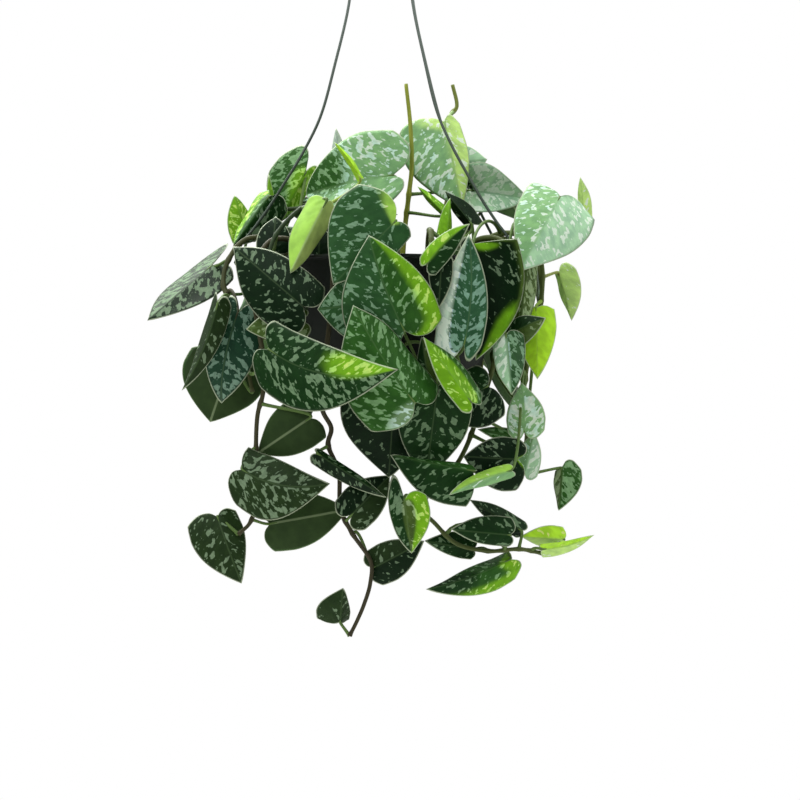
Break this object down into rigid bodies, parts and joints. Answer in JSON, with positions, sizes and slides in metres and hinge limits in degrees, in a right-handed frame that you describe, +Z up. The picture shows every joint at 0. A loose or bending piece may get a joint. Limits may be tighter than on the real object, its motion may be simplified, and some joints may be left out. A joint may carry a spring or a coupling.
{
  "type": "hanging potted plant",
  "caption": "Trailing satin pothos with mottled heart-shaped leaves in a round plastic pot that hangs by bent wires from one hook.",
  "frame": {"origin": "the point inside the top of the hook's arc on which the whole plant hangs", "axes": "+Z up, against gravity; the side seen in the picture faces -Y; +X to the right in the picture"},
  "size_m": [0.3062, 0.3283, 0.6261],
  "materials": {
    "foliage": "satin, mottled silver",
    "pot_plastic": "matt",
    "potting_soil": "rough",
    "steel": "galvanised"
  },
  "bodies": {
    "root": {"hook": "steel", "pot": "pot_plastic", "soil": "potting_soil", "trail_centre": "foliage", "trail_left": "foliage", "trail_right": "foliage", "vine_back": "foliage", "vine_back_left": "foliage", "vine_back_right": "foliage", "vine_front": "foliage", "vine_front_right": "foliage", "vine_left": "foliage", "vine_right": "foliage", "vine_right_back": "foliage", "vine_shoot": "foliage", "vine_top_back": "foliage", "vine_top_left": "foliage", "vine_top_right": "foliage", "wire_back": "steel", "wire_left": "steel", "wire_right": "steel"}
  },
  "joints": []
}
